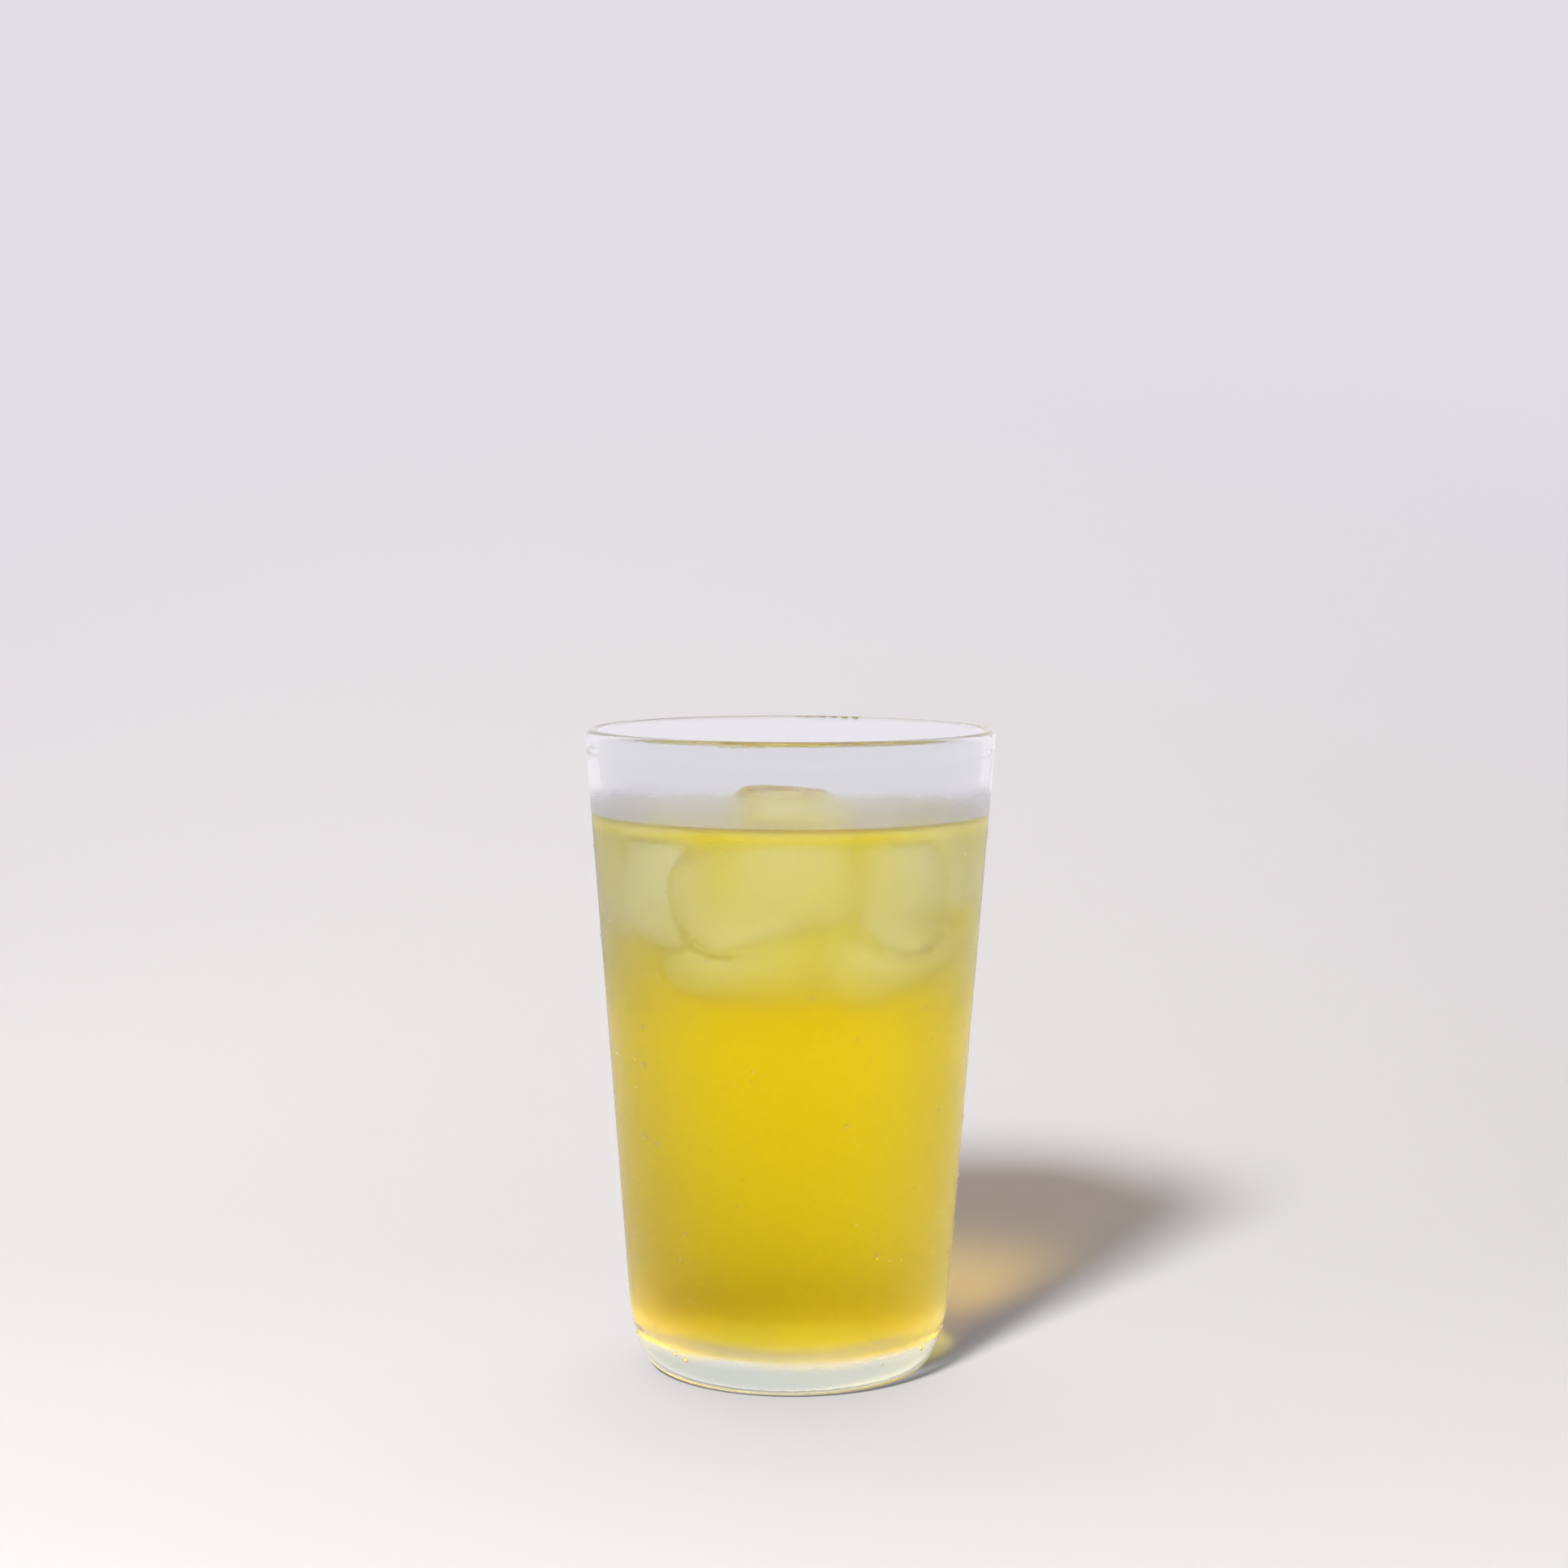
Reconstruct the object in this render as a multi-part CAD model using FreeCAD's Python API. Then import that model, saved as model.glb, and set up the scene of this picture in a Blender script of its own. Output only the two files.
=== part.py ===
import FreeCAD, Part

# A conical tumbler of pressed clear glass, filled with iced green tea.
#
# Millimetres, +Z up. The origin is the middle of the foot, on the surface that the glass
# stands on, with +X to the right and +Y away from the side that is shown first.
# The glass and the tea are bodies of revolution about Z. The ice pieces that break the
# surface are cubes from a tray with melted, rounded edges, and the tea is cut round them.

import math
import os

# ---------------------------------------------------------------- the glass
GLASS_HEIGHT = 130.0
RIM_RADIUS = 41.5        # the straight outer wall, carried up to the top of the lip
TABLE_RADIUS = 31.5      # the same wall, carried down to the table
WALL_AT_RIM = 2.2        # level thickness of the wall just under the lip
WALL_AT_FLOOR = 3.2      # the wall thickens towards the base, as in a pressed glass
LIP_BULGE = 0.45         # how much fuller the fire-polished lip is than the wall
LIP_BLEND = 6.0          # height over which that fullness runs out into the wall
HEEL_HEIGHT = 15.2       # where the outer wall starts to turn in
HEEL_FULLNESS = 0.62     # how far the heel's curve is drawn out towards its corner
HEEL_REACH = 5.5         # how far the heel's curve comes in from the wall's line, to the foot
FOOT_RING = 2.6          # width of the flat ring that the glass stands on
PUNT_RISE = 1.6          # hollow under the foot, at the axis
FLOOR_HEIGHT = 7.2       # top of the thick base, inside
WELL_FILLET = 9.0        # round between the floor and the inner wall

# ---------------------------------------------------------------- the tea
HEADSPACE = 18.5         # from the rim down to the tea's level
MENISCUS = 1.8           # how far the tea climbs the wall

# ---------------------------------------------------------------- the ice
ICE_WALL_GAP = 0.6       # film of tea between a piece of ice and the wall
ICE_GAP = 1.0            # film of tea between two pieces of ice
ICE_DRAFT = 0.86         # a cube's narrow end, as a share of its wide end
ICE_FACET = 0.05         # how finely a piece is measured before it is placed

# Each piece that breaks the surface: the wide end's two sides, its height, the round of
# its edges, its three turns in degrees (about Z, X and Y) and how much stands out of the tea.
LEFT_ICE = {"sides": (17.0, 25.0), "height": 27.0, "round": 4.8, "turns": (9.0, -7.0, 9.0), "out": 3.8}
RIGHT_ICE = {"sides": (19.0, 24.0), "height": 21.0, "round": 4.6, "turns": (-14.0, 6.0, -8.0), "out": 4.4}
MIDDLE_ICE = {"sides": (25.0, 22.0), "height": 25.0, "round": 5.5, "turns": (16.0, 9.0, 7.0), "out": 8.0}
LEFT_BEARING = 190.0     # where the left piece rests against the wall, degrees from +X
RIGHT_BEARING = -12.0    # where the right piece rests against the wall
MIDDLE_ADVANCE = 8.0     # how far the middle piece lies in front of the axis

FOOT_RADIUS = TABLE_RADIUS - HEEL_REACH
TEA_LEVEL = GLASS_HEIGHT - HEADSPACE
LEAN = math.atan2(RIM_RADIUS - TABLE_RADIUS, GLASS_HEIGHT)


# ---------------------------------------------------------------- drawing in the (radius, height) plane
def point(radius, height):
    return FreeCAD.Vector(radius, 0.0, height)


def line(start, end):
    return Part.LineSegment(start, end).toShape()


def arc(start, middle, end):
    return Part.Arc(start, middle, end).toShape()


def curve(*poles):
    bezier = Part.BezierCurve()
    bezier.setPoles(list(poles))
    return bezier.toShape()


def revolve(edges):
    face = Part.Face(Part.Wire(edges))
    return face.revolve(FreeCAD.Vector(0, 0, 0), FreeCAD.Vector(0, 0, 1), 360.0)


def between(start, end, share):
    return start + (end - start) * share


# ---------------------------------------------------------------- the glass's two walls
def outer_radius(height):
    return TABLE_RADIUS + (RIM_RADIUS - TABLE_RADIUS) * height / GLASS_HEIGHT


def inner_radius(height):
    """The straight inner wall; it closes in faster than the outer one, as the wall thickens."""
    at_rim = RIM_RADIUS - WALL_AT_RIM
    at_floor = outer_radius(FLOOR_HEIGHT) - WALL_AT_FLOOR
    return at_floor + (at_rim - at_floor) * (height - FLOOR_HEIGHT) / (GLASS_HEIGHT - FLOOR_HEIGHT)


def well_edges(top):
    """The inside of the glass, from the axis over the floor and up the wall to a height."""
    slope = (inner_radius(top) - inner_radius(FLOOR_HEIGHT)) / (top - FLOOR_HEIGHT)
    lean = math.atan(slope)
    # The fillet's middle is level with its radius over the floor, and that far from the wall.
    middle_height = FLOOR_HEIGHT + WELL_FILLET
    middle_radius = inner_radius(middle_height) - WELL_FILLET / math.cos(lean)
    middle = point(middle_radius, middle_height)
    floor_end = point(middle_radius, FLOOR_HEIGHT)
    halfway = -math.pi / 4 - lean / 2
    bend = middle + point(WELL_FILLET * math.cos(halfway), WELL_FILLET * math.sin(halfway))
    wall_start = middle + point(WELL_FILLET * math.cos(lean), -WELL_FILLET * math.sin(lean))
    axis = point(0.0, FLOOR_HEIGHT)
    wall_end = point(inner_radius(top), top)
    return [line(axis, floor_end), arc(floor_end, bend, wall_start), line(wall_start, wall_end)]


def lip_edges(wall_start, inner_end):
    """The outer wall from the heel, over the rounded lip, and down into the inner wall."""
    lip = (WALL_AT_RIM + LIP_BULGE) / 2
    along = point(math.sin(LEAN), math.cos(LEAN))
    inward = point(-math.cos(LEAN), math.sin(LEAN))
    reach = (GLASS_HEIGHT - lip - lip * math.sin(LEAN)) / math.cos(LEAN)
    outer_touch = point(TABLE_RADIUS, 0.0) + along * reach
    middle = outer_touch + inward * lip
    inner_touch = middle + inward * lip
    crest = middle + point(0.0, lip)
    handle = (inner_touch - inner_end).Length * 0.45
    fading = curve(inner_touch, inner_touch - along * handle, inner_end + along * handle, inner_end)
    return [line(wall_start, outer_touch), arc(outer_touch, crest, inner_touch), fading]


def glass():
    """The tumbler: flat foot ring, shallow punt, round heel, straight wall, full lip, deep well."""
    corner = point(TABLE_RADIUS, 0.0)
    heel_top = point(outer_radius(HEEL_HEIGHT), HEEL_HEIGHT)
    heel_end = point(FOOT_RADIUS, 0.0)
    ring_end = point(FOOT_RADIUS - FOOT_RING, 0.0)
    punt_top = point(0.0, PUNT_RISE)
    # The punt is an arc whose crown is level at the axis.
    punt_radius = (ring_end.x ** 2 + PUNT_RISE ** 2) / (2 * PUNT_RISE)
    half_turn = math.asin(ring_end.x / punt_radius) / 2
    punt_bend = point(punt_radius * math.sin(half_turn), PUNT_RISE - punt_radius * (1 - math.cos(half_turn)))
    heel = curve(heel_end, between(heel_end, corner, HEEL_FULLNESS),
                 between(heel_top, corner, HEEL_FULLNESS), heel_top)
    inside_top = GLASS_HEIGHT - LIP_BLEND
    edges = [arc(punt_top, punt_bend, ring_end), line(ring_end, heel_end), heel]
    edges += lip_edges(heel_top, point(inner_radius(inside_top), inside_top))
    edges += well_edges(inside_top)
    edges += [line(point(0.0, FLOOR_HEIGHT), punt_top)]
    return revolve(Part.__sortEdges__(edges))


def tea(ice_pieces):
    """The drink up to its level, with the climb at the wall, cut round the floating ice."""
    climb_top = TEA_LEVEL + MENISCUS
    wall_end = point(inner_radius(climb_top), climb_top)
    level_end = point(wall_end.x - MENISCUS, TEA_LEVEL)
    climb = curve(wall_end, point(inner_radius(TEA_LEVEL), TEA_LEVEL), level_end)
    edges = well_edges(climb_top)
    edges += [climb, line(level_end, point(0.0, TEA_LEVEL))]
    edges += [line(point(0.0, TEA_LEVEL), point(0.0, FLOOR_HEIGHT))]
    return revolve(Part.__sortEdges__(edges)).cut(ice_pieces)


# ---------------------------------------------------------------- the ice
def spots_on(shape):
    return shape.tessellate(ICE_FACET)[0]


def float_at(cube, out):
    """Raises or lowers a cube until it stands that far out of the tea."""
    top = max(spot.z for spot in spots_on(cube))
    cube.translate(FreeCAD.Vector(0, 0, TEA_LEVEL + out - top))
    return cube


def ice_cube(form):
    """A tray cube on the axis, wide end up, melted round, turned and afloat."""
    width, depth = form["sides"]
    tall = form["height"]

    def section(share, height):
        half_width = width * share / 2
        half_depth = depth * share / 2
        corners = [(-1, -1), (1, -1), (1, 1), (-1, 1), (-1, -1)]
        return Part.makePolygon([FreeCAD.Vector(a * half_width, b * half_depth, height) for a, b in corners])

    block = Part.makeLoft([section(ICE_DRAFT, -tall / 2), section(1.0, tall / 2)], True)
    cube = block.makeFillet(form["round"], block.Edges).Solids[0]
    about_z, about_x, about_y = form["turns"]
    middle = FreeCAD.Vector(0, 0, 0)
    cube.rotate(middle, FreeCAD.Vector(0, 0, 1), about_z)
    cube.rotate(middle, FreeCAD.Vector(1, 0, 0), about_x)
    cube.rotate(middle, FreeCAD.Vector(0, 1, 0), about_y)
    return float_at(cube, form["out"])


def slide_to_wall(cube, bearing):
    """Moves a cube out along a bearing until it is a film of tea away from the wall."""
    across = math.cos(math.radians(bearing))
    away = math.sin(math.radians(bearing))
    travel = RIM_RADIUS
    for spot in spots_on(cube):
        room = inner_radius(spot.z) - ICE_WALL_GAP
        forward = spot.x * across + spot.y * away
        sideways = spot.x * away - spot.y * across
        travel = min(travel, math.sqrt(room ** 2 - sideways ** 2) - forward)
    cube.translate(FreeCAD.Vector(across * travel, away * travel, 0))
    return cube


def fit_between(cube, left, right, out):
    """Sizes a cube to the room between its two neighbours and floats it there."""
    room_start = max(spot.x for spot in spots_on(left)) + ICE_GAP
    room_end = min(spot.x for spot in spots_on(right)) - ICE_GAP
    width = max(spot.x for spot in spots_on(cube)) - min(spot.x for spot in spots_on(cube))
    cube = cube.scaled((room_end - room_start) / width)
    start = min(spot.x for spot in spots_on(cube))
    cube.translate(FreeCAD.Vector(room_start - start, -MIDDLE_ADVANCE, 0))
    return float_at(cube, out)


def build():
    left = slide_to_wall(ice_cube(LEFT_ICE), LEFT_BEARING)
    right = slide_to_wall(ice_cube(RIGHT_ICE), RIGHT_BEARING)
    middle = fit_between(ice_cube(MIDDLE_ICE), left, right, MIDDLE_ICE["out"])
    return {
        "glass": glass(),
        "tea": tea([left, middle, right]),
        "ice_left": left,
        "ice_middle": middle,
        "ice_right": right,
    }


os.makedirs("parts", exist_ok=True)
for name, shape in build().items():
    solid = shape.Solids[0]
    solid.exportStep("parts/" + name + ".step")
    spots = spots_on(solid)
    low = [min(spot[axis] for spot in spots) for axis in range(3)]
    high = [max(spot[axis] for spot in spots) for axis in range(3)]
    print("%-11s solids %d, valid %s, %.1f ml, from (%.1f, %.1f, %.1f) to (%.1f, %.1f, %.1f)" % (
        name, len(shape.Solids), solid.isValid(), solid.Volume / 1000, *low, *high))
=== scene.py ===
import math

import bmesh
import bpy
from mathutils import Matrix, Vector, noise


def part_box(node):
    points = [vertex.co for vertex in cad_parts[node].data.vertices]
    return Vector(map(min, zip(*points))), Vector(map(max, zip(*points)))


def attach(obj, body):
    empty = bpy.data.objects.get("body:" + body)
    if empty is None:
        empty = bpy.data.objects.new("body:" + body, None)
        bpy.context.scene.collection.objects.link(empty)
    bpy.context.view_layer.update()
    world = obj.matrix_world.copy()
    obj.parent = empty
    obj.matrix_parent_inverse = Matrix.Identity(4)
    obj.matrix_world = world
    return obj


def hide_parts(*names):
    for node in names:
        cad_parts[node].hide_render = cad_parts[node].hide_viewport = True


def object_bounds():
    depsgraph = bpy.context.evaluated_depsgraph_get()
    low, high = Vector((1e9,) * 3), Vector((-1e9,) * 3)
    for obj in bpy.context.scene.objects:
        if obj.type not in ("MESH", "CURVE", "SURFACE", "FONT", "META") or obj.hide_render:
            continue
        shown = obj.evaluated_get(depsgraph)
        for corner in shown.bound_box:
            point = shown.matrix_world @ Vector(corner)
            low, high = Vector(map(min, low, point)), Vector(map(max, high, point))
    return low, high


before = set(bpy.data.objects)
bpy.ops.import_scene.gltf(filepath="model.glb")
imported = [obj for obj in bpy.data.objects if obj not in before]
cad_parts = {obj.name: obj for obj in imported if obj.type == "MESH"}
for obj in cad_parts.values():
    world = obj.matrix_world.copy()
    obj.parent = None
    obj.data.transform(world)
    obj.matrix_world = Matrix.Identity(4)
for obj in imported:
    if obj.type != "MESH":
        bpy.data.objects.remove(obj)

# A conical tumbler of clear glass, misted with condensation and filled with iced green tea.
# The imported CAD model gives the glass, the tea's outline and the ice that breaks the surface.
# This script finishes the glass, fills it with tea that reaches just into the wall, melts
# the ice, adds the ice that lies sunk in the tea and the beads of water on the outside, and
# sets the stage. Everything is in metres, in the CAD model's frame.

bl_info = {
    "name": "Glass of iced green tea",
    "version": (1, 0, 0),
    "blender": (4, 5, 0),
    "location": "View3D > Sidebar > Iced Tea",
    "description": "Finishes a misted tumbler of iced green tea round its CAD frame",
    "category": "Object",
}

MM = 0.001
CAD_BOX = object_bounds()
BODY = "root"
BLACK = (0.0, 0.0, 0.0, 1.0)
WHITE = (1.0, 1.0, 1.0, 1.0)
# A Map Range node with this setting eases from 0 at From Min to 1 at From Max, either way up.
EASED = {"interpolation_type": "SMOOTHSTEP"}
# The slants, from 0 face on to 1 edge on, between which a skin starts to mirror: where glass
# meets tea, and where ice meets tea.
GLASS_FACE_ON, GLASS_SLANT = 0.24, 0.35
ICE_FACE_ON, ICE_SLANT = 0.6, 0.9


# ---------------------------------------------------------------- small helpers
def linear(hex_colour):
    """An sRGB colour such as "#E1C503" as the linear RGBA that shaders and properties take."""
    channels = [int(hex_colour[i:i + 2], 16) / 255 for i in (1, 3, 5)]
    return [c / 12.92 if c <= 0.04045 else ((c + 0.055) / 1.055) ** 2.4 for c in channels] + [1.0]


def add(tree, kind, inputs=None, **settings):
    """Adds a node, sets its settings, and sets or links its inputs. A node given as an input
    stands for the first output that it has in use."""
    node = tree.nodes.new(kind)
    for name, value in settings.items():
        setattr(node, name, value)
    for name, value in (inputs or {}).items():
        if isinstance(value, bpy.types.Node):
            value = next(socket for socket in value.outputs if socket.enabled)
        if isinstance(value, bpy.types.NodeSocket):
            tree.links.new(value, node.inputs[name])
        else:
            node.inputs[name].default_value = value
    return node


def new_material(name):
    material = bpy.data.materials.new(name)
    material.use_nodes = True
    material.node_tree.nodes.clear()
    return material, material.node_tree


def mesh_object(name, mesh, material=None):
    piece = bpy.data.objects.new(name, mesh)
    bpy.context.scene.collection.objects.link(piece)
    if material is not None:
        mesh.materials.clear()
        mesh.materials.append(material)
    return piece


def baked(piece):
    """The piece's mesh with its modifiers applied; the modifiers are then removed."""
    graph = bpy.context.evaluated_depsgraph_get()
    mesh = bpy.data.meshes.new_from_object(piece.evaluated_get(graph))
    piece.modifiers.clear()
    old = piece.data
    piece.data = mesh
    bpy.data.meshes.remove(old)
    mesh.name = piece.name
    return piece


def smooth(mesh, sharp_over=None):
    mesh.polygons.foreach_set("use_smooth", [True] * len(mesh.polygons))
    if sharp_over is not None:
        mesh.set_sharp_from_angle(angle=sharp_over)
    mesh.update()


def outline(node_name):
    """The outside of a round CAD node: (radius, height) from its foot's middle to its top ring."""
    spots = [(v.co.z, math.hypot(v.co.x, v.co.y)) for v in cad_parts[node_name].data.vertices]
    lowest = min(spots)[0]
    chain = [(lowest, 0.0)]
    top = max(spots, key=lambda spot: spot[1])[0]
    for height, radius in sorted(s for s in spots if s[0] <= top):
        while len(chain) > 1:
            (z1, r1), (z2, r2) = chain[-2:]
            if (z2 - z1) * (radius - r1) - (r2 - r1) * (height - z1) < 0:
                break
            chain.pop()
        if math.hypot(height - chain[-1][0], radius - chain[-1][1]) > 0.02 * MM:
            chain.append((height, radius))
    return [(radius, height) for height, radius in chain]


def radius_at(points, height):
    """The radius of an outline at a height, between its points."""
    for (r1, z1), (r2, z2) in zip(points, points[1:]):
        if z1 <= height <= z2 and z2 > z1:
            return r1 + (r2 - r1) * (height - z1) / (z2 - z1)
    return points[-1][0]


def pushed_out(points, distance):
    """An outline moved out square to itself, as where one thing reaches just into another."""
    moved = []
    for i, (radius, height) in enumerate(points):
        before = Vector(points[max(i - 1, 0)])
        after = Vector(points[min(i + 1, len(points) - 1)])
        along = (after - before).normalized()
        out = max(radius + along.y * distance, 0.0) if i else 0.0
        moved.append((out, height - along.x * distance))
    return moved


def turned(form, points, steps):
    """Adds the skin that (radius, height) points sweep round the axis."""
    rings = []
    for radius, height in points:
        if radius < 1e-7:
            rings.append([form.verts.new((0, 0, height))])
            continue
        turns = [2 * math.pi * i / steps for i in range(steps)]
        rings.append([form.verts.new((radius * math.cos(t), radius * math.sin(t), height))
                      for t in turns])
    for low, high in zip(rings, rings[1:]):
        for i in range(steps):
            j = (i + 1) % steps
            corners = [low[i % len(low)], low[j % len(low)], high[j % len(high)], high[i % len(high)]]
            form.faces.new(list(dict.fromkeys(corners)))


def lathe(name, points, steps):
    """A closed body of revolution from (radius, height) points that start and end on the axis."""
    form = bmesh.new()
    turned(form, points, steps)
    bmesh.ops.recalc_face_normals(form, faces=form.faces)
    mesh = bpy.data.meshes.new(name)
    form.to_mesh(mesh)
    form.free()
    return mesh


def wander(spot, size, seed):
    """Smooth noise between -1 and 1 whose bumps are about the size given."""
    return noise.noise(spot / size + Vector((seed * 7.3, seed * 3.1, seed * 1.7)))


# ---------------------------------------------------------------- settings a user may change
def length(name, description, default):
    return bpy.props.FloatProperty(
        name=name, description=description, default=default, unit="LENGTH", precision=5, min=0.0)


def colour(name, description, hex_colour):
    return bpy.props.FloatVectorProperty(
        name=name, description=description, default=linear(hex_colour), subtype="COLOR",
        size=4, min=0, max=1)


def share(name, description, default, most=1.0):
    return bpy.props.FloatProperty(
        name=name, description=description, default=default, min=0.0, max=most)


class GlassSettings(bpy.types.PropertyGroup):
    tint: colour("Tint", "Faint green of soda-lime glass", "#FEFFFE")
    # Painted shade: a grey that darkens the wall where no tea wets it, over the tea.
    dry_painted_shade: colour("Dry tint", "The same where no tea wets the wall", "#ECEDEE")
    base_tint: colour("Base tint", "The same green where the glass is thickest", "#D2DBD0")
    wall: length("Wall", "Thickness of the wall, to tell its outside from its inside", 2.2 * MM)
    floor: length("Floor", "Height of the inside floor, where the tea starts", 7.2 * MM)
    mist_top: length("Mist top", "Height where the condensation starts, just over the tea", 117.0 * MM)
    mist_tilt: share(
        "Mist tilt", "How much lower the mist's edge stands for each metre further back", 0.06)
    mist_foot: length(
        "Mist foot", "Height where the condensation ends at the sides, over the base", 9.5 * MM)
    mist_sag: share("Mist sag", "How much lower that edge hangs for each metre nearer", 0.1)
    mist_blur: share("Mist blur", "Roughness that the mist gives the glass", 0.5)
    chill_foot: length(
        "Chill foot", "Height from which ice behind the wall thickens the mist", 70.0 * MM)
    chill_full: length("Chill full", "Height from which the mist beside the ice is thickest", 84.0 * MM)
    mist_dull: share("Mist dulling", "How much of the mirror on the glass the mist takes away", 1.0)
    mist_grain: length(
        "Mist grain", "Size of the patches in which mist is denser or thinner", 14.0 * MM)


class TeaSettings(bpy.types.PropertyGroup):
    climb: length("Climb", "How far the tea climbs the wall at its edge", 1.8 * MM)
    capillary: length("Capillary length", "How far from the wall the climb dies away", 2.7 * MM)
    reach: length(
        "Reach", "How far the tea reaches into the glass, so that no air gap shows", 0.08 * MM)
    lens_foot: length("Lens foot", "Height from which the tea gathers the key light", 6 * MM)
    lens_middle: length("Lens middle", "Height where it gathers most of it", 34 * MM)
    lens_top: length("Lens top", "Height from which it throws the key light aside", 78 * MM)
    shadow: colour(
        "Shadow", "Key light that the tea throws aside, as what is left in its shadow", "#7C634A")
    patch: colour("Patch", "Key light that the tea gathers, as a warm patch in its shadow", "#F0E2C6")
    strength: share("Strength", "How much light a metre of tea absorbs, at most", 75.0, 1000.0)
    colour_kept: colour(
        "Colour kept", "What the tea leaves of each colour: red whole, green nearly", "#FEF700")


class IceSettings(bpy.types.PropertyGroup):
    grain: length("Grain", "Size of the faces that a melted piece is made with", 0.9 * MM)
    film: length("Film", "Thickness of the tea between a sunk piece and what it presses on", 0.7 * MM)
    cover: length("Cover", "Depth of the tea over a sunk piece", 1.4 * MM)
    dimple: length("Dimple", "Size of the hollows that melting leaves", 9.0 * MM)
    dimple_depth: length("Dimple depth", "Depth of those hollows", 0.9 * MM)
    bite: length(
        "Bite", "How far a piece reaches into the tea around it, so that no air gap shows", 0.06 * MM)
    cloud: share("Cloud", "How white the ice is with trapped air", 0.02)


class BeadSettings(bpy.types.PropertyGroup):
    smallest: length("Smallest", "Radius of the smallest beads of water on the glass", 0.13 * MM)
    largest: length("Largest", "Radius of the largest beads", 0.8 * MM)
    spacing: length("Spacing", "Least distance between two beads", 1.5 * MM)
    seed: bpy.props.IntProperty(name="Seed", description="Which scatter of beads is drawn", default=4)


class StageSettings(bpy.types.PropertyGroup):
    floor: colour("Floor", "White paper underneath", "#EDEDF2")
    # Painted shade: the plain paper is drawn a little darker at its bend than up the backdrop.
    bend: colour("Bend", "The paper where it starts to sweep up", "#DEDADF")
    wall: colour("Backdrop", "Pale paper behind", "#E0DDE4")
    in_glass: share(
        "Strength in glass", "Strength of the plain background as glass shows it", 1.32, 2.0)
    flat: length("Flat", "How far behind the glass the paper starts to sweep up", 0.08)
    sweep: length("Sweep", "Radius of the curve from floor to backdrop", 0.7)
    reach: length("Reach", "How far the paper goes to the front, the sides and up", 3.0)


class IcedTeaSettings(bpy.types.PropertyGroup):
    glass: bpy.props.PointerProperty(type=GlassSettings)
    tea: bpy.props.PointerProperty(type=TeaSettings)
    ice: bpy.props.PointerProperty(type=IceSettings)
    beads: bpy.props.PointerProperty(type=BeadSettings)
    stage: bpy.props.PointerProperty(type=StageSettings)


# ---------------------------------------------------------------- materials
def height_and_radius(tree):
    """Sockets for the height over the foot and the distance from the axis."""
    place = add(tree, "ShaderNodeTexCoord").outputs["Object"]
    parts = add(tree, "ShaderNodeSeparateXYZ", {0: place})
    flat = add(tree, "ShaderNodeCombineXYZ", {"X": parts.outputs["X"], "Y": parts.outputs["Y"]})
    radius = add(tree, "ShaderNodeVectorMath", {0: flat}, operation="LENGTH")
    return parts.outputs["Z"], radius.outputs["Value"]


def beyond_wall(tree, height, radius, wall_line):
    """How far a spot lies outside a straight wall that runs through two (radius, height) points;
    it is below 0 for what lies within it."""
    (r1, z1), (r2, z2) = wall_line
    slope = (r2 - r1) / (z2 - z1)
    on_line = add(tree, "ShaderNodeMath", {
        0: height, 1: slope, 2: r1 - slope * z1}, operation="MULTIPLY_ADD")
    return add(tree, "ShaderNodeMath", {0: radius, 1: on_line}, operation="SUBTRACT")


def all_of(tree, first, *others):
    """The product of shares between 0 and 1, so 1 only where all of them are."""
    for other in others:
        first = add(tree, "ShaderNodeMath", {0: first, 1: other}, operation="MULTIPLY")
    return first


def lost_at_edges(tree, face_on, glancing):
    """The grey that lamps pass a clear body with: it throws their light aside at its edges."""
    facing = add(tree, "ShaderNodeLayerWeight", {"Blend": 0.5}).outputs["Facing"]
    edge = add(tree, "ShaderNodeMapRange", {0: facing, 1: 0.35, 2: 0.85}, **EASED)
    return add(tree, "ShaderNodeMix", {
        0: edge, 6: [face_on] * 3 + [1.0], 7: [glancing] * 3 + [1.0]}, data_type="RGBA")


def let_lamps_through(tree, shader, tint):
    """What the eye sees is the shader; lamps pass it with the tint."""
    lamp = add(tree, "ShaderNodeLightPath").outputs["Is Shadow Ray"]
    clear = add(tree, "ShaderNodeBsdfTransparent", {"Color": tint})
    return add(tree, "ShaderNodeMixShader", {0: lamp, 1: shader, 2: clear})


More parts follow.
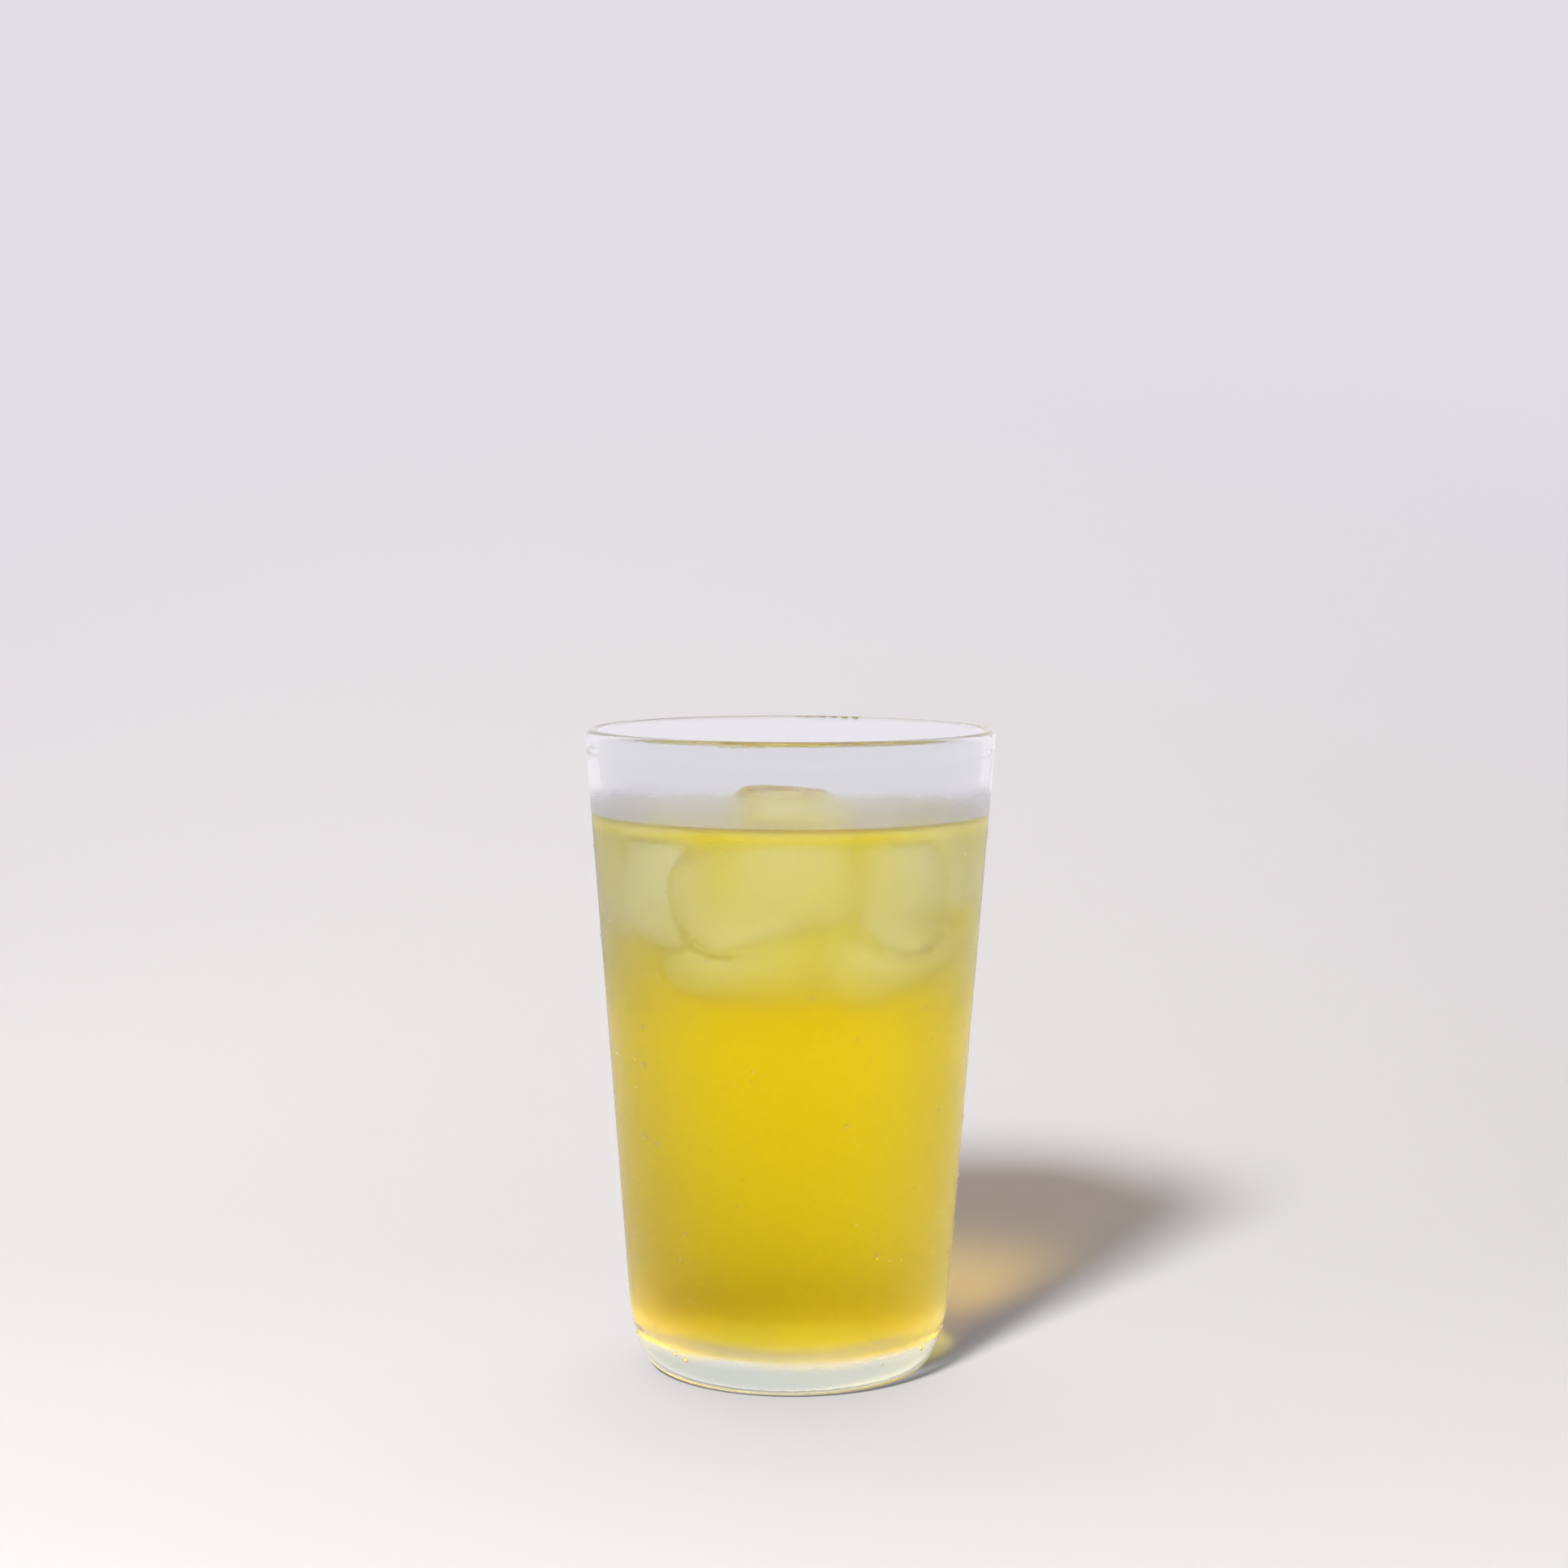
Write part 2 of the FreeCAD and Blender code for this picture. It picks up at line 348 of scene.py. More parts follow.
def soda_lime_glass(settings, wall_line, tea_level):
    """Pressed and fire-polished soda-lime glass: clear and smooth at the lip and in the thick
    base, and misted outside wherever the cold tea stands behind it. Mist is a film of fine
    droplets, so it blurs what shows through and leaves no colour of its own."""
    material, tree = new_material("soda_lime_glass_misted")
    place = add(tree, "ShaderNodeTexCoord").outputs["Object"]
    height, radius = height_and_radius(tree)
    facing = add(tree, "ShaderNodeLayerWeight", {"Blend": 0.5}).outputs["Facing"]
    face_on = add(tree, "ShaderNodeMapRange", {
        0: facing, 1: GLASS_SLANT, 2: GLASS_FACE_ON}, **EASED)
    middle = -0.5 * settings.wall
    outside = add(tree, "ShaderNodeMapRange", {
        0: beyond_wall(tree, height, radius, wall_line),
        1: middle - 0.01 * MM, 2: middle + 0.01 * MM}, **EASED)
    # The mist's edges wander by a few millimetres, and tilt from the front to the back.
    patches = add(tree, "ShaderNodeTexNoise", {
        "Vector": place, "Scale": 1 / settings.mist_grain, "Detail": 3.0})
    drift = add(tree, "ShaderNodeMath", {
        0: patches.outputs["Fac"], 1: 5.0 * MM, 2: -2.5 * MM}, operation="MULTIPLY_ADD")
    wandering = add(tree, "ShaderNodeMath", {0: height, 1: drift}, operation="ADD")
    to_back = add(tree, "ShaderNodeSeparateXYZ", {0: place}).outputs["Y"]
    at_top = add(tree, "ShaderNodeMath", {
        0: to_back, 1: settings.mist_tilt, 2: wandering}, operation="MULTIPLY_ADD")
    under_top = add(tree, "ShaderNodeMapRange", {
        0: at_top, 1: settings.mist_top + 3.0 * MM, 2: settings.mist_top - 2.5 * MM}, **EASED)
    at_foot = add(tree, "ShaderNodeMath", {
        0: to_back, 1: -settings.mist_sag, 2: wandering}, operation="MULTIPLY_ADD")
    over_foot = add(tree, "ShaderNodeMapRange", {
        0: at_foot, 1: settings.mist_foot - 2.5 * MM, 2: settings.mist_foot + 3.0 * MM}, **EASED)
    mist = all_of(tree, under_top, over_foot, outside)
    # Looked at along the wall, the film blurs less of what lies behind it.
    slant = add(tree, "ShaderNodeMapRange", {0: facing, 1: 0.35, 2: 0.8, 3: 1.0, 4: 0.7})
    # Beside the ice the wall is coldest, and the film is at its thickest.
    chill = add(tree, "ShaderNodeMapRange", {
        0: height, 1: settings.chill_foot, 2: settings.chill_full, 3: 0.0, 4: 0.4})
    by_tea = add(tree, "ShaderNodeMapRange", {
        0: height, 1: tea_level, 2: tea_level - 2.0 * MM}, **EASED)
    thicker = add(tree, "ShaderNodeMath", {0: chill, 1: by_tea, 2: 1.0}, operation="MULTIPLY_ADD")
    blur = all_of(tree, mist, settings.mist_blur, slant, thicker)
    # Where tea wets the inside, glass and tea are so alike that hardly any light turns back,
    # except what meets the tea at a slant from within the glass.
    under_tea = add(tree, "ShaderNodeMapRange", {
        0: height, 1: tea_level + 0.3 * MM, 2: tea_level}, **EASED)
    over_floor = add(tree, "ShaderNodeMapRange", {
        0: height, 1: settings.floor - 0.6 * MM, 2: settings.floor - 0.3 * MM}, **EASED)
    inside = add(tree, "ShaderNodeMath", {0: 1.0, 1: outside}, operation="SUBTRACT")
    wet = all_of(tree, under_tea, inside, over_floor, face_on)
    # A film of droplets throws about what a polished surface would mirror, at any slant
    # outwards and face on inwards.
    from_within = add(tree, "ShaderNodeNewGeometry").outputs["Backfacing"]
    outwards = add(tree, "ShaderNodeMath", {0: 1.0, 1: from_within}, operation="SUBTRACT")
    thrown = add(tree, "ShaderNodeMath", {0: outwards, 1: face_on}, operation="MAXIMUM")
    filmed = all_of(tree, mist, settings.mist_dull, thrown)
    dull = add(tree, "ShaderNodeMath", {0: wet, 1: filmed}, operation="MAXIMUM")
    mirror = add(tree, "ShaderNodeMix", {0: dull, 6: WHITE, 7: BLACK}, data_type="RGBA")
    # The base is so thick that the glass shows its green there. Over the tea, where glass stands
    # against air on both sides, the wall is painted a little grey: painted shade on the clear band.
    over_tea = add(tree, "ShaderNodeMapRange", {
        0: height, 1: tea_level, 2: tea_level + 3.0 * MM}, **EASED)
    wall_tint_and_dry_shade = add(tree, "ShaderNodeMix", {
        0: over_tea, 6: settings.tint, 7: settings.dry_painted_shade}, data_type="RGBA")
    in_base = add(tree, "ShaderNodeMapRange", {
        0: height, 1: settings.floor + 1.0 * MM, 2: settings.floor - 2.0 * MM}, **EASED)
    tint = add(tree, "ShaderNodeMix", {
        0: in_base, 6: wall_tint_and_dry_shade, 7: settings.base_tint}, data_type="RGBA")
    glass = add(tree, "ShaderNodeBsdfPrincipled", {
        "Base Color": tint, "IOR": 1.52, "Transmission Weight": 1.0, "Roughness": blur,
        "Specular Tint": mirror})
    shader = let_lamps_through(tree, glass, lost_at_edges(tree, 0.98, 0.4))
    add(tree, "ShaderNodeOutputMaterial", {"Surface": shader})
    return material


def green_tea(settings, wall_line, level):
    """Cold-brewed green tea: a clear liquid that swallows blue and a little green, so that it
    deepens from pale yellow at its edges to full yellow through the middle of the glass."""
    material, tree = new_material("cold_green_tea")
    height, radius = height_and_radius(tree)
    facing = add(tree, "ShaderNodeLayerWeight", {"Blend": 0.5}).outputs["Facing"]
    depth = beyond_wall(tree, height, radius, wall_line)
    # Its free surface mirrors: against glass and ice hardly any light turns back, but at a slant.
    by_ice = add(tree, "ShaderNodeMapRange", {0: depth, 1: -0.8 * MM, 2: -1.1 * MM}, **EASED)
    off_glass = add(tree, "ShaderNodeMapRange", {
        0: facing, 1: GLASS_FACE_ON, 2: GLASS_SLANT}, **EASED)
    off_ice = add(tree, "ShaderNodeMapRange", {0: facing, 1: ICE_FACE_ON, 2: ICE_SLANT}, **EASED)
    slant = add(tree, "ShaderNodeMix", {0: by_ice, 2: off_glass, 3: off_ice}, data_type="FLOAT")
    surface = add(tree, "ShaderNodeMapRange", {
        0: height, 1: level - 0.4 * MM, 2: level - 0.1 * MM}, **EASED)
    mirrors = add(tree, "ShaderNodeMath", {0: slant, 1: surface}, operation="MAXIMUM")
    mirror = add(tree, "ShaderNodeMix", {0: mirrors, 6: BLACK, 7: WHITE}, data_type="RGBA")
    tea = add(tree, "ShaderNodeBsdfPrincipled", {
        "Base Color": WHITE, "IOR": 1.333, "Transmission Weight": 1.0, "Roughness": 0.0,
        "Specular Tint": mirror})
    body = add(tree, "ShaderNodeVolumeAbsorption", {
        "Color": settings.colour_kept, "Density": settings.strength})
    # The full glass is a lens: it gathers the key light that crosses its lower part into a warm
    # patch close by, and throws aside what crosses its upper part and its edges.
    from_top = add(tree, "ShaderNodeMapRange", {
        0: height, 1: settings.lens_top, 2: settings.lens_middle}, **EASED)
    from_foot = add(tree, "ShaderNodeMapRange", {
        0: height, 1: settings.lens_foot, 2: settings.lens_middle}, **EASED)
    straight = add(tree, "ShaderNodeMapRange", {0: facing, 1: 0.5, 2: 0.28}, **EASED)
    warm = add(tree, "ShaderNodeMix", {
        0: all_of(tree, from_top, from_foot, straight),
        6: settings.shadow, 7: settings.patch}, data_type="RGBA")
    # The light is tinted where it crosses the wall, and not again behind each piece of ice.
    near_wall = add(tree, "ShaderNodeMapRange", {0: depth, 1: -1.1 * MM, 2: -0.8 * MM}, **EASED)
    near_floor = add(tree, "ShaderNodeMapRange", {
        0: height, 1: settings.lens_foot, 2: 0.9 * settings.lens_foot}, **EASED)
    on_skin = add(tree, "ShaderNodeMath", {0: near_wall, 1: near_floor}, operation="MAXIMUM")
    way_in = add(tree, "ShaderNodeMix", {0: on_skin, 6: WHITE, 7: warm}, data_type="RGBA")
    way_out = add(tree, "ShaderNodeNewGeometry").outputs["Backfacing"]
    tint = add(tree, "ShaderNodeMix", {0: way_out, 6: way_in, 7: WHITE}, data_type="RGBA")
    shader = let_lamps_through(tree, tea, tint)
    add(tree, "ShaderNodeOutputMaterial", {"Surface": shader, "Volume": body})
    return material


def tray_ice(settings, tea_level):
    """Ice from a freezer tray, melting: a wet smooth skin over ice that air whitens a little."""
    material, tree = new_material("melting_tray_ice")
    height, _ = height_and_radius(tree)
    facing = add(tree, "ShaderNodeLayerWeight", {"Blend": 0.5}).outputs["Facing"]
    # Ice and tea bend light so nearly alike that what lies under the tea mirrors only at a slant.
    slant = add(tree, "ShaderNodeMapRange", {0: facing, 1: ICE_FACE_ON, 2: ICE_SLANT}, **EASED)
    over_tea = add(tree, "ShaderNodeMapRange", {
        0: height, 1: tea_level - 0.5 * MM, 2: tea_level + 0.5 * MM}, **EASED)
    mirrors = add(tree, "ShaderNodeMath", {0: slant, 1: over_tea}, operation="MAXIMUM")
    mirror = add(tree, "ShaderNodeMix", {0: mirrors, 6: BLACK, 7: WHITE}, data_type="RGBA")
    ice = add(tree, "ShaderNodeBsdfPrincipled", {
        "Base Color": WHITE, "IOR": 1.31, "Specular Tint": mirror,
        "Transmission Weight": 1.0 - settings.cloud, "Roughness": 0.03})
    shader = let_lamps_through(tree, ice, lost_at_edges(tree, 0.99, 0.95))
    add(tree, "ShaderNodeOutputMaterial", {"Surface": shader})
    return material


def water():
    """Condensed water: small clear beads that sit on the glass like lenses."""
    material, tree = new_material("condensed_water")
    bead = add(tree, "ShaderNodeBsdfPrincipled", {
        "Base Color": WHITE, "IOR": 1.333, "Transmission Weight": 1.0, "Roughness": 0.0})
    shader = let_lamps_through(tree, bead, lost_at_edges(tree, 0.97, 0.9))
    add(tree, "ShaderNodeOutputMaterial", {"Surface": shader})
    return material


def seen_plain(tree):
    """1 for what the eye sees directly, in a mirror or through glass, and 0 for what matt
    surfaces gather."""
    path = add(tree, "ShaderNodeLightPath").outputs
    mirrored = add(tree, "ShaderNodeMath", {
        0: path["Is Camera Ray"], 1: path["Is Glossy Ray"]}, operation="MAXIMUM")
    seen = add(tree, "ShaderNodeMath", {
        0: mirrored, 1: path["Is Transmission Ray"]}, operation="MAXIMUM")
    not_gathered = add(tree, "ShaderNodeMath", {
        0: path["Diffuse Depth"], 1: 0.5}, operation="LESS_THAN")
    return all_of(tree, seen, not_gathered)


def glow(tree, in_glass):
    """The plain background is as bright as it is written for the eye, and stronger in glass."""
    eye = add(tree, "ShaderNodeLightPath").outputs["Is Camera Ray"]
    return add(tree, "ShaderNodeMapRange", {0: eye, 3: in_glass, 4: 1.0})


def sweep_paper(settings):
    """Matt white paper that carries the object's shadow nearby and is a plain pale
    background further out, for the eye and for what glass shows or mirrors."""
    material, tree = new_material("sweep_paper")
    height, radius = height_and_radius(tree)
    paper = add(tree, "ShaderNodeBsdfPrincipled", {
        "Base Color": settings.floor, "Roughness": 0.9, "Specular IOR Level": 0.1})
    # The plain paper eases from the bend's darker colour, painted shade, to the backdrop's.
    upwards = add(tree, "ShaderNodeMapRange", {0: height, 1: 0.0, 2: 0.35}, **EASED)
    shade = add(tree, "ShaderNodeMix", {
        0: upwards, 6: settings.bend, 7: settings.wall}, data_type="RGBA")
    plain = add(tree, "ShaderNodeEmission", {
        "Color": shade, "Strength": glow(tree, settings.in_glass)})
    # Straight on the paper turns plain only far out; through glass it does so near the shadow.
    far_out = add(tree, "ShaderNodeMapRange", {0: radius, 1: 0.25, 2: 0.7}, **EASED)
    past_shadow = add(tree, "ShaderNodeMapRange", {0: radius, 1: 0.13, 2: 0.3}, **EASED)
    eye = add(tree, "ShaderNodeLightPath").outputs["Is Camera Ray"]
    turned = add(tree, "ShaderNodeMix", {0: eye, 2: past_shadow, 3: far_out}, data_type="FLOAT")
    mix = add(tree, "ShaderNodeMixShader", {
        0: all_of(tree, seen_plain(tree), turned), 1: paper, 2: plain})
    add(tree, "ShaderNodeOutputMaterial", {"Surface": mix})
    return material


# ---------------------------------------------------------------- ice shapes
def melt(mesh, settings, seed):
    """Moves a piece's skin inwards in shallow hollows with fine ripples, as melting does."""
    spots = [v.co.copy() for v in mesh.vertices]
    normals = [v.normal.copy() for v in mesh.vertices]
    for vertex, spot, normal in zip(mesh.vertices, spots, normals):
        hollow = 0.5 + 0.5 * wander(spot, settings.dimple, seed)
        ripple = wander(spot, settings.dimple / 3, seed + 5)
        vertex.co = spot - normal * (hollow * settings.dimple_depth + ripple * 0.12 * MM + 0.1 * MM)
    mesh.update()


def remeshed(piece, grain):
    """Gives a piece even faces and softened edges."""
    grid = piece.modifiers.new("even faces", "REMESH")
    grid.mode = "VOXEL"
    grid.voxel_size = grain
    soft = piece.modifiers.new("melted edges", "SMOOTH")
    soft.factor = 0.5
    soft.iterations = 6
    return baked(piece)


def floating_ice(name, node_name, settings, seed):
    """A CAD piece of ice with its skin melted."""
    form = bmesh.new()
    form.from_mesh(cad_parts[node_name].data)
    bmesh.ops.remove_doubles(form, verts=form.verts, dist=0.001 * MM)
    mesh = bpy.data.meshes.new(name)
    form.to_mesh(mesh)
    form.free()
    piece = remeshed(mesh_object(name, mesh), settings.grain)
    melt(piece.data, settings, seed)
    smooth(piece.data)
    return piece


def cut_by(piece, operation, mesh):
    """Cuts a piece with a closed mesh, or keeps what lies within it; the mesh is used up."""
    cutter = mesh_object("cutter", mesh)
    cut = piece.modifiers.new(operation, "BOOLEAN")
    cut.operation = operation
    cut.solver = "MANIFOLD"
    cut.object = cutter
    baked(piece)
    bpy.data.meshes.remove(mesh)


def swollen(mesh, distance):
    """A copy of a closed mesh with its skin moved out, or in where the distance is below 0."""
    copy = mesh.copy()
    copy.materials.clear()
    normals = [v.normal.copy() for v in mesh.vertices]
    for vertex, normal in zip(copy.vertices, normals):
        vertex.co += normal * distance
    return copy


def fitted(piece, neighbours, room, film):
    """Cuts a piece back where it would reach into its neighbours or out of the room under the
    tea, as ice melts where it is pressed, and leaves a film of tea there."""
    for other in neighbours:
        cut_by(piece, "DIFFERENCE", swollen(other.data, film))
    cut_by(piece, "INTERSECT", room.copy())
    form = bmesh.new()
    form.from_mesh(piece.data)
    parts = []
    left = set(form.verts)
    while left:
        part = {left.pop()}
        edge = list(part)
        while edge:
            edge = [v for e in edge.pop().link_edges for v in e.verts if v in left] + edge
            edge = list(dict.fromkeys(edge))
            part.update(edge)
            left.difference_update(edge)
        parts.append(part)
    largest = max(parts, key=len)
    loose = [v for part in parts if part is not largest for v in part]
    bmesh.ops.delete(form, geom=loose, context="VERTS")
    form.to_mesh(piece.data)
    form.free()


def sunk_ice(name, sides, rounding, turns, place, settings):
    """A piece of ice that lies wholly under the tea: a rounded block, turned and placed."""
    form = bmesh.new()
    bmesh.ops.create_cube(form, size=2.0)
    bmesh.ops.subdivide_edges(form, edges=form.edges, cuts=10, use_grid_fill=True)
    half = Vector(sides) * MM / 2
    core = half - Vector((rounding * MM,) * 3)
    about_z, about_x, about_y = (
        Matrix.Rotation(math.radians(turn), 4, axis) for turn, axis in zip(turns, "ZXY"))
    turn = about_y @ about_x @ about_z
    for vertex in form.verts:
        spot = Vector(a * b for a, b in zip(vertex.co, half))
        inner = Vector(max(-c, min(c, a)) for a, c in zip(spot, core))
        spot = inner + (spot - inner).normalized() * rounding * MM
        vertex.co = turn @ spot + Vector(place) * MM
    mesh = bpy.data.meshes.new(name)
    form.to_mesh(mesh)
    form.free()
    return remeshed(mesh_object(name, mesh), settings.grain)


# ---------------------------------------------------------------- one operator for each piece
FLOATING_ICE = ("ice_left", "ice_middle", "ice_right")
# The sunk pieces in millimetres: sides, round of the edges, turns about Z, X and Y, and middle.
SUNK_ICE = {
    "ice_front_top": ((36, 20, 21), 8.5, (8, 18, -10), (-4, -28, 101)),
    "ice_front_right": ((26, 20, 22), 8.0, (-32, 18, 20), (21, -25, 100)),
    "ice_front_left": ((21, 19, 22), 7.0, (30, 0, 14), (-25, -23, 100)),
    "ice_sunk_front": ((32, 27, 17), 8.0, (14, 22, 12), (-9, -18, 88)),
    "ice_sunk_right": ((30, 26, 17), 8.0, (30, 20, -12), (16, -15, 88)),
    "ice_sunk_deep": ((30, 26, 17), 7.5, (-10, 8, -8), (-11, 9, 86)),
    "ice_sunk_far_right": ((27, 26, 17), 7.5, (14, -8, 8), (16, 13, 85)),
    "ice_back_left": ((30, 26, 24), 7.0, (24, 8, 10), (-15, 21, 100)),
    "ice_back_right": ((30, 26, 24), 7.0, (-22, -8, -10), (15, 21, 100)),
}


class OBJECT_OT_tumbler(bpy.types.Operator):
    """Finish the tumbler, the CAD node, as clear glass with condensation on its outside"""
    bl_idname = "iced_tea.tumbler"
    bl_label = "Tumbler"

    def execute(self, context):
        outside = outline("glass")
        height = CAD_BOX[1].z
        wall_line = [(radius_at(outside, z), z) for z in (0.3 * height, 0.9 * height)]
        tea_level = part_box("tea")[1].z - context.scene.iced_tea.tea.climb
        material = soda_lime_glass(context.scene.iced_tea.glass, wall_line, tea_level)
        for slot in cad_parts["glass"].material_slots:
            slot.material = material
        return {"FINISHED"}


class OBJECT_OT_ice(bpy.types.Operator):
    """Melt the ice that floats and add the ice that lies sunk under it"""
    bl_idname = "iced_tea.ice"
    bl_label = "Ice"

    def execute(self, context):
        settings = context.scene.iced_tea.ice
        wall = outline("tea")
        level = wall[-1][1] - context.scene.iced_tea.tea.climb
        material = tray_ice(settings, level)
        room = pushed_out(wall[:-1], -settings.film)
        top = level - settings.cover
        room = [(r, z) for r, z in room if z < top] + [(radius_at(room, top), top), (0.0, top)]
        room = lathe("room under the tea", room, 96)
        pieces = []
        for seed, node_name in enumerate(FLOATING_ICE):
            piece = floating_ice(node_name + "_melted", node_name, settings, seed + 1)
            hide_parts(node_name)
            pieces.append(piece)
        for seed, (name, form) in enumerate(SUNK_ICE.items()):
            piece = sunk_ice(name, *form, settings)
            fitted(piece, pieces, room, settings.film)
            remeshed(piece, settings.grain)
            melt(piece.data, settings, seed + 11)
            smooth(piece.data)
            pieces.append(piece)
        bpy.data.meshes.remove(room)
        for piece in pieces:
            piece.data.materials.clear()
            piece.data.materials.append(material)
            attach(piece, BODY)
        return {"FINISHED"}


class OBJECT_OT_tea(bpy.types.Operator):
    """Fill the glass with tea up to its level, cut round every piece of ice"""
    bl_idname = "iced_tea.tea"
    bl_label = "Tea"

    def execute(self, context):
        settings = context.scene.iced_tea.tea
        wall = outline("tea")
        edge_radius, edge_height = wall[-1]
        level = edge_height - settings.climb
        points = pushed_out(wall, settings.reach)
        # Water climbs a wall in a curve that dies away over its capillary length.
        for i in range(1, 25):
            away = 4.0 * settings.capillary * (i / 24) ** 1.5
            rise = settings.climb * math.exp(-away / settings.capillary)
            points.append((edge_radius - away, level + rise))
        calm = points[-1][0]
        points += [(calm * s, level) for s in (0.75, 0.5, 0.25)]
        points.append((0.0, level))
        wall_line = [(radius_at(wall, height), height) for height in (0.3 * level, 0.9 * level)]
        material = green_tea(settings, wall_line, level)
        tea = mesh_object("green_tea", lathe("green_tea", points, 192), material)
        bite = context.scene.iced_tea.ice.bite
        cutters = []
        for name in [n + "_melted" for n in FLOATING_ICE] + list(SUNK_ICE):
            cutter = mesh_object("cutter", swollen(bpy.data.objects[name].data, -bite))
            cut = tea.modifiers.new(name, "BOOLEAN")
            cut.operation = "DIFFERENCE"
            cut.solver = "MANIFOLD"
            cut.object = cutter
            cutters.append(cutter)
        baked(tea)
        for cutter in cutters:
            bpy.data.meshes.remove(cutter.data)
        smooth(tea.data, math.radians(50))
        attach(tea, BODY)
        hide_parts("tea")
        return {"FINISHED"}


def bead_scatter():
    """Geometry nodes that scatter low domes of water over a skin, most of them small, thickest
    round the mist's two edges where water gathers."""
    tree = bpy.data.node_groups.new("scattered beads", "GeometryNodeTree")
    sockets = {"Skin": "Geometry", "Smallest": "Float", "Largest": "Float", "Spacing": "Float",
               "Foot": "Float", "Level": "Float", "Seed": "Int", "Water": "Material"}
    for name, kind in sockets.items():
        tree.interface.new_socket(name, in_out="INPUT", socket_type="NodeSocket" + kind)
    tree.interface.new_socket("Beads", in_out="OUTPUT", socket_type="NodeSocketGeometry")
    given = add(tree, "NodeGroupInput").outputs
    place = add(tree, "GeometryNodeInputPosition")
    spot = add(tree, "ShaderNodeSeparateXYZ", {0: place}).outputs
    # The share of full density: a quarter everywhere, and more within 7 mm of either edge.
    crowd = 0.25
    for edge in ("Foot", "Level"):
        gap = add(tree, "ShaderNodeMath", {0: spot["Z"], 1: given[edge]}, operation="SUBTRACT")
        away = add(tree, "ShaderNodeMath", {0: gap}, operation="ABSOLUTE")
        near = add(tree, "ShaderNodeMapRange", {0: away, 1: 7.0 * MM, 2: 1.0 * MM}, **EASED)
        crowd = add(tree, "ShaderNodeMath", {0: crowd, 1: near}, operation="ADD")
    spots = add(tree, "GeometryNodeDistributePointsOnFaces", {
        "Mesh": given["Skin"], "Distance Min": given["Spacing"], "Density Max": 1.2e5,
        "Density Factor": crowd, "Seed": given["Seed"]}, distribute_method="POISSON")
    # A bead is a ball of radius 1, half as high and cut off flat just under its middle.
    ball = add(tree, "GeometryNodeMeshUVSphere", {"Segments": 8, "Rings": 5, "Radius": 1.0})
    halved = add(tree, "ShaderNodeMath", {0: spot["Z"], 1: 0.5}, operation="MULTIPLY")
    low = add(tree, "ShaderNodeMath", {0: halved, 1: -0.08}, operation="MAXIMUM")
    flat = add(tree, "ShaderNodeCombineXYZ", {"X": spot["X"], "Y": spot["Y"], "Z": low})
    dome = add(tree, "GeometryNodeSetPosition", {"Geometry": ball.outputs["Mesh"], "Position": flat})
    # A high power of an even chance makes most of them small.
    chance = add(tree, "FunctionNodeRandomValue", {"Seed": given["Seed"]}, data_type="FLOAT")
    rare = add(tree, "ShaderNodeMath", {0: chance, 1: 9.0}, operation="POWER")
    size = add(tree, "ShaderNodeMapRange", {0: rare, 3: given["Smallest"], 4: given["Largest"]})
    beads = add(tree, "GeometryNodeInstanceOnPoints", {
        "Points": spots.outputs["Points"], "Instance": dome,
        "Rotation": spots.outputs["Rotation"], "Scale": size})
    real = add(tree, "GeometryNodeRealizeInstances", {"Geometry": beads})
    wet = add(tree, "GeometryNodeSetMaterial", {"Geometry": real, "Material": given["Water"]})
    add(tree, "NodeGroupOutput", {"Beads": wet})
    return tree


class OBJECT_OT_beads(bpy.types.Operator):
    """Scatter beads of condensed water over the misted outside of the tumbler"""
    bl_idname = "iced_tea.beads"
    bl_label = "Beads of water"

    def execute(self, context):
        settings = context.scene.iced_tea.beads
        glass = context.scene.iced_tea.glass
        outside = outline("glass")
        # The skin that beads sit on starts 4 mm under the mist's foot, in rows 3 mm high.
        heights = [glass.mist_foot - 4.0 * MM + 3.0 * MM * i for i in range(36)]
        form = bmesh.new()
        turned(form, [(radius_at(outside, height), height) for height in heights], 96)
        skin = bpy.data.meshes.new("water_beads")
        form.to_mesh(skin)
        form.free()
        beads = mesh_object("water_beads", skin)
        scatter = beads.modifiers.new("scatter", "NODES")
        scatter.node_group = bead_scatter()
        values = {"Smallest": settings.smallest, "Largest": settings.largest,
                  "Spacing": settings.spacing, "Foot": glass.mist_foot,
                  "Level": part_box("tea")[1].z, "Seed": settings.seed, "Water": water()}
        for socket in scatter.node_group.interface.items_tree:
            if socket.name in values:
                scatter[socket.identifier] = values[socket.name]
        baked(beads)
        smooth(beads.data)
        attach(beads, BODY)
        return {"FINISHED"}


